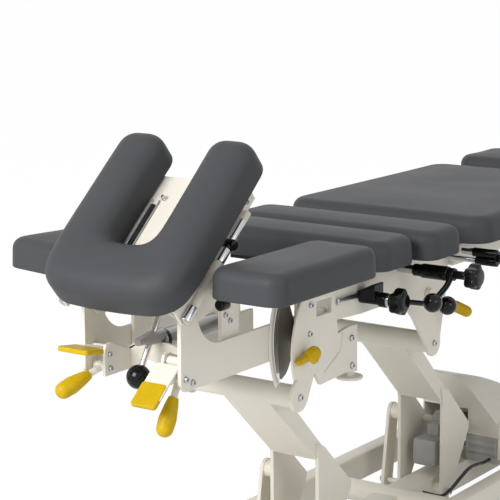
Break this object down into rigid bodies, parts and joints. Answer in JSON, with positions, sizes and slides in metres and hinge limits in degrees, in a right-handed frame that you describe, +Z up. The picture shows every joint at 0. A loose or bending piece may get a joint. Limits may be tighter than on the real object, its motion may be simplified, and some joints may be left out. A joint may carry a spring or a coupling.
{
  "type": "electric treatment table",
  "caption": "Electric-lift treatment table: tilting U headrest and armrests on a yoke, drop torso cushions, foot cushion, white parallelogram base with an actuator.",
  "frame": {"origin": "floor, under the centre of the bounding box", "axes": "+X to the right of someone who stands at the head end and looks along the table, +Y from head end to foot end, +Z up"},
  "size_m": [0.6396, 1.9407, 0.9833],
  "materials": {
    "frame_white": "warm white powder coat",
    "grey_vinyl": "smooth dark grey vinyl upholstery",
    "yellow_grip": "yellow dipped plastic",
    "black_plastic": "black moulded plastic",
    "black_rubber": "black rubber",
    "chrome": "polished chrome",
    "grey_drive": "grey drive housing",
    "grey_steel": "grey plated steel",
    "black_board": "black cushion board"
  },
  "bodies": {
    "base": {"base_rail_left": "frame_white", "base_rail_right": "frame_white", "base_bar_foot": "frame_white", "base_spine_front": "frame_white", "base_spine_rear": "frame_white", "levelling_foot_head_left": "black_rubber", "levelling_foot_head_right": "black_rubber", "levelling_foot_foot_left": "black_rubber", "levelling_foot_foot_right": "black_rubber", "actuator_hood": "frame_white", "control_box": "grey_drive", "control_lead": "black_rubber"},
    "rear_leg": {"rear_leg": "frame_white"},
    "front_leg": {"front_leg": "frame_white"},
    "actuator_body": {"actuator_body": "grey_drive"},
    "actuator_rod": {"actuator_rod": "chrome"},
    "platform": {"hull_panel_left": "frame_white", "hull_panel_right": "frame_white", "seat_rail_left": "frame_white", "seat_rail_right": "frame_white", "thoracic_bridge": "frame_white", "lumbar_bridge": "frame_white", "pelvic_bridge": "frame_white", "quadrant_plate_left": "frame_white", "quadrant_plate_right": "frame_white", "foot_cushion": "grey_vinyl", "drop_cylinder_a": "black_plastic", "drop_cylinder_b": "black_plastic", "drop_cylinder_c": "black_plastic"},
    "thoracic": {"thoracic_cushion": "grey_vinyl", "thoracic_board": "black_board"},
    "lumbar": {"lumbar_cushion": "grey_vinyl", "lumbar_board": "black_board"},
    "pelvic": {"pelvic_cushion": "grey_vinyl", "pelvic_board": "black_board"},
    "cocking_lever_a": {"cocking_lever_a": "black_plastic"},
    "cocking_lever_b": {"cocking_lever_b": "black_plastic"},
    "pelvic_lever": {"pelvic_lever": "yellow_grip"},
    "quadrant_lever": {"quadrant_lever": "yellow_grip"},
    "star_knob_a": {"star_knob_a": "black_plastic"},
    "star_knob_b": {"star_knob_b": "black_plastic"},
    "star_knob_c": {"star_knob_c": "black_plastic"},
    "head_frame": {"yoke_plate_left": "frame_white", "yoke_plate_right": "frame_white", "yoke_front_plate": "frame_white", "spring_tube": "grey_steel", "tilt_sector_left": "grey_steel", "tilt_sector_right": "grey_steel"},
    "headrest_tray": {"headrest_tray": "frame_white"},
    "headrest_pad": {"headrest_pad": "grey_vinyl"},
    "headrest_lever": {"headrest_lever": "chrome"},
    "paddle_left": {"paddle_left": "yellow_grip"},
    "paddle_right": {"paddle_right": "yellow_grip"},
    "drop_lever_left": {"drop_lever_left": "yellow_grip"},
    "drop_lever_right": {"drop_lever_right": "yellow_grip"},
    "armrest_bracket_left": {"armrest_bracket_left": "frame_white"},
    "armrest_bracket_right": {"armrest_bracket_right": "frame_white"},
    "armrest_left": {"armrest_pad_left": "grey_vinyl"},
    "armrest_right": {"armrest_pad_right": "grey_vinyl"}
  },
  "joints": [
    {"name": "lift", "type": "hinge", "parent": "base", "child": "rear_leg", "pos_m": [-0.0002, 0.2144, 0.058], "axis": [1, 0, 0], "range_deg": [-10, 40]},
    {"name": "front_leg_swing", "type": "hinge", "parent": "base", "child": "front_leg", "pos_m": [-0.0002, -0.3176, 0.058], "axis": [1, 0, 0], "range_deg": [-10, 40]},
    {"name": "platform_level", "type": "hinge", "parent": "rear_leg", "child": "platform", "pos_m": [-0.0002, 0.0094, 0.462], "axis": [1, 0, 0], "range_deg": [-40, 10]},
    {"name": "actuator_pivot", "type": "hinge", "parent": "rear_leg", "child": "actuator_body", "pos_m": [-0.0002, 0.3044, 0.196], "axis": [1, 0, 0], "range_deg": [-40, 10]},
    {"name": "actuator_stroke", "type": "slide", "parent": "actuator_body", "child": "actuator_rod", "axis": [0, 0.9742, -0.2256], "range_m": [-0.0285, 0.1135]},
    {"name": "thoracic_drop", "type": "slide", "parent": "platform", "child": "thoracic", "axis": [0, 0, 1], "range_m": [-0.012, 0]},
    {"name": "lumbar_drop", "type": "slide", "parent": "platform", "child": "lumbar", "axis": [0, 0, 1], "range_m": [-0.012, 0]},
    {"name": "pelvic_drop", "type": "slide", "parent": "platform", "child": "pelvic", "axis": [0, 0, 1], "range_m": [-0.012, 0]},
    {"name": "cocking_a", "type": "hinge", "parent": "platform", "child": "cocking_lever_a", "pos_m": [-0.0002, -0.3006, 0.62], "axis": [1, 0, 0], "range_deg": [-25, 0]},
    {"name": "cocking_b", "type": "hinge", "parent": "platform", "child": "cocking_lever_b", "pos_m": [-0.0002, -0.1506, 0.655], "axis": [1, 0, 0], "range_deg": [0, 30]},
    {"name": "pelvic_release", "type": "hinge", "parent": "platform", "child": "pelvic_lever", "pos_m": [-0.0002, -0.0256, 0.578], "axis": [1, 0, 0], "range_deg": [-20, 20]},
    {"name": "quadrant_clamp", "type": "hinge", "parent": "platform", "child": "quadrant_lever", "pos_m": [-0.0002, -0.5636, 0.547], "axis": [1, 0, 0], "range_deg": [-30, 45]},
    {"name": "star_knob_a_turn", "type": "hinge", "parent": "platform", "child": "star_knob_a", "pos_m": [-0.0002, -0.3006, 0.62], "axis": [1, 0, 0], "continuous": true},
    {"name": "star_knob_b_turn", "type": "hinge", "parent": "platform", "child": "star_knob_b", "pos_m": [-0.0002, -0.1506, 0.655], "axis": [1, 0, 0], "continuous": true},
    {"name": "star_knob_c_turn", "type": "hinge", "parent": "platform", "child": "star_knob_c", "pos_m": [-0.0002, 0.0394, 0.658], "axis": [1, 0, 0], "continuous": true},
    {"name": "head_tilt", "type": "hinge", "parent": "platform", "child": "head_frame", "pos_m": [-0.0002, -0.4206, 0.5825], "axis": [1, 0, 0], "range_deg": [-18, 10]},
    {"name": "headrest_tilt", "type": "hinge", "parent": "head_frame", "child": "headrest_tray", "pos_m": [-0.0002, -0.8366, 0.674], "axis": [1, 0, 0], "range_deg": [-9, 12]},
    {"name": "headrest_slide", "type": "slide", "parent": "headrest_tray", "child": "headrest_pad", "axis": [0, 0.7559, 0.6547], "range_m": [0, 0.05]},
    {"name": "headrest_clamp", "type": "hinge", "parent": "headrest_tray", "child": "headrest_lever", "pos_m": [-0.0002, -0.77488, 0.69439], "axis": [1, 0, 0], "range_deg": [-15, 0]},
    {"name": "paddle_left_press", "type": "hinge", "parent": "head_frame", "child": "paddle_left", "pos_m": [-0.0002, -0.8586, 0.598], "axis": [1, 0, 0], "range_deg": [0, 15], "stiffness_Nm_per_rad": 8, "springref_deg": -8.59},
    {"name": "paddle_right_press", "type": "hinge", "parent": "head_frame", "child": "paddle_right", "pos_m": [-0.0002, -0.8586, 0.598], "axis": [1, 0, 0], "range_deg": [0, 12], "stiffness_Nm_per_rad": 8, "springref_deg": -8.59},
    {"name": "drop_lever_left_pull", "type": "hinge", "parent": "head_frame", "child": "drop_lever_left", "pos_m": [-0.0002, -0.8526, 0.564], "axis": [1, 0, 0], "range_deg": [-10, 0], "stiffness_Nm_per_rad": 6, "springref_deg": 6.88},
    {"name": "drop_lever_right_pull", "type": "hinge", "parent": "head_frame", "child": "drop_lever_right", "pos_m": [-0.0002, -0.8526, 0.564], "axis": [1, 0, 0], "range_deg": [-20, 0], "stiffness_Nm_per_rad": 6, "springref_deg": 6.88},
    {"name": "armrest_height_left", "type": "slide", "parent": "head_frame", "child": "armrest_bracket_left", "axis": [0, 0, 1], "range_m": [-0.02, 0.04]},
    {"name": "armrest_height_right", "type": "slide", "parent": "head_frame", "child": "armrest_bracket_right", "axis": [0, 0, 1], "range_m": [-0.02, 0.04]},
    {"name": "armrest_swing_left", "type": "hinge", "parent": "armrest_bracket_left", "child": "armrest_left", "pos_m": [-0.1852, -0.7656, 0.72], "axis": [0, 0, 1], "range_deg": [-12, 9]},
    {"name": "armrest_swing_right", "type": "hinge", "parent": "armrest_bracket_right", "child": "armrest_right", "pos_m": [0.1848, -0.7656, 0.72], "axis": [0, 0, 1], "range_deg": [0, 25]}
  ],
  "couplings": [
    {"joint": "front_leg_swing", "follows": "lift", "ratio": 1},
    {"joint": "platform_level", "follows": "lift", "ratio": -1},
    {"joint": "actuator_pivot", "follows": "lift", "ratio": -1},
    {"joint": "actuator_stroke", "follows": "lift", "m_per_rad": 0.1615}
  ]
}
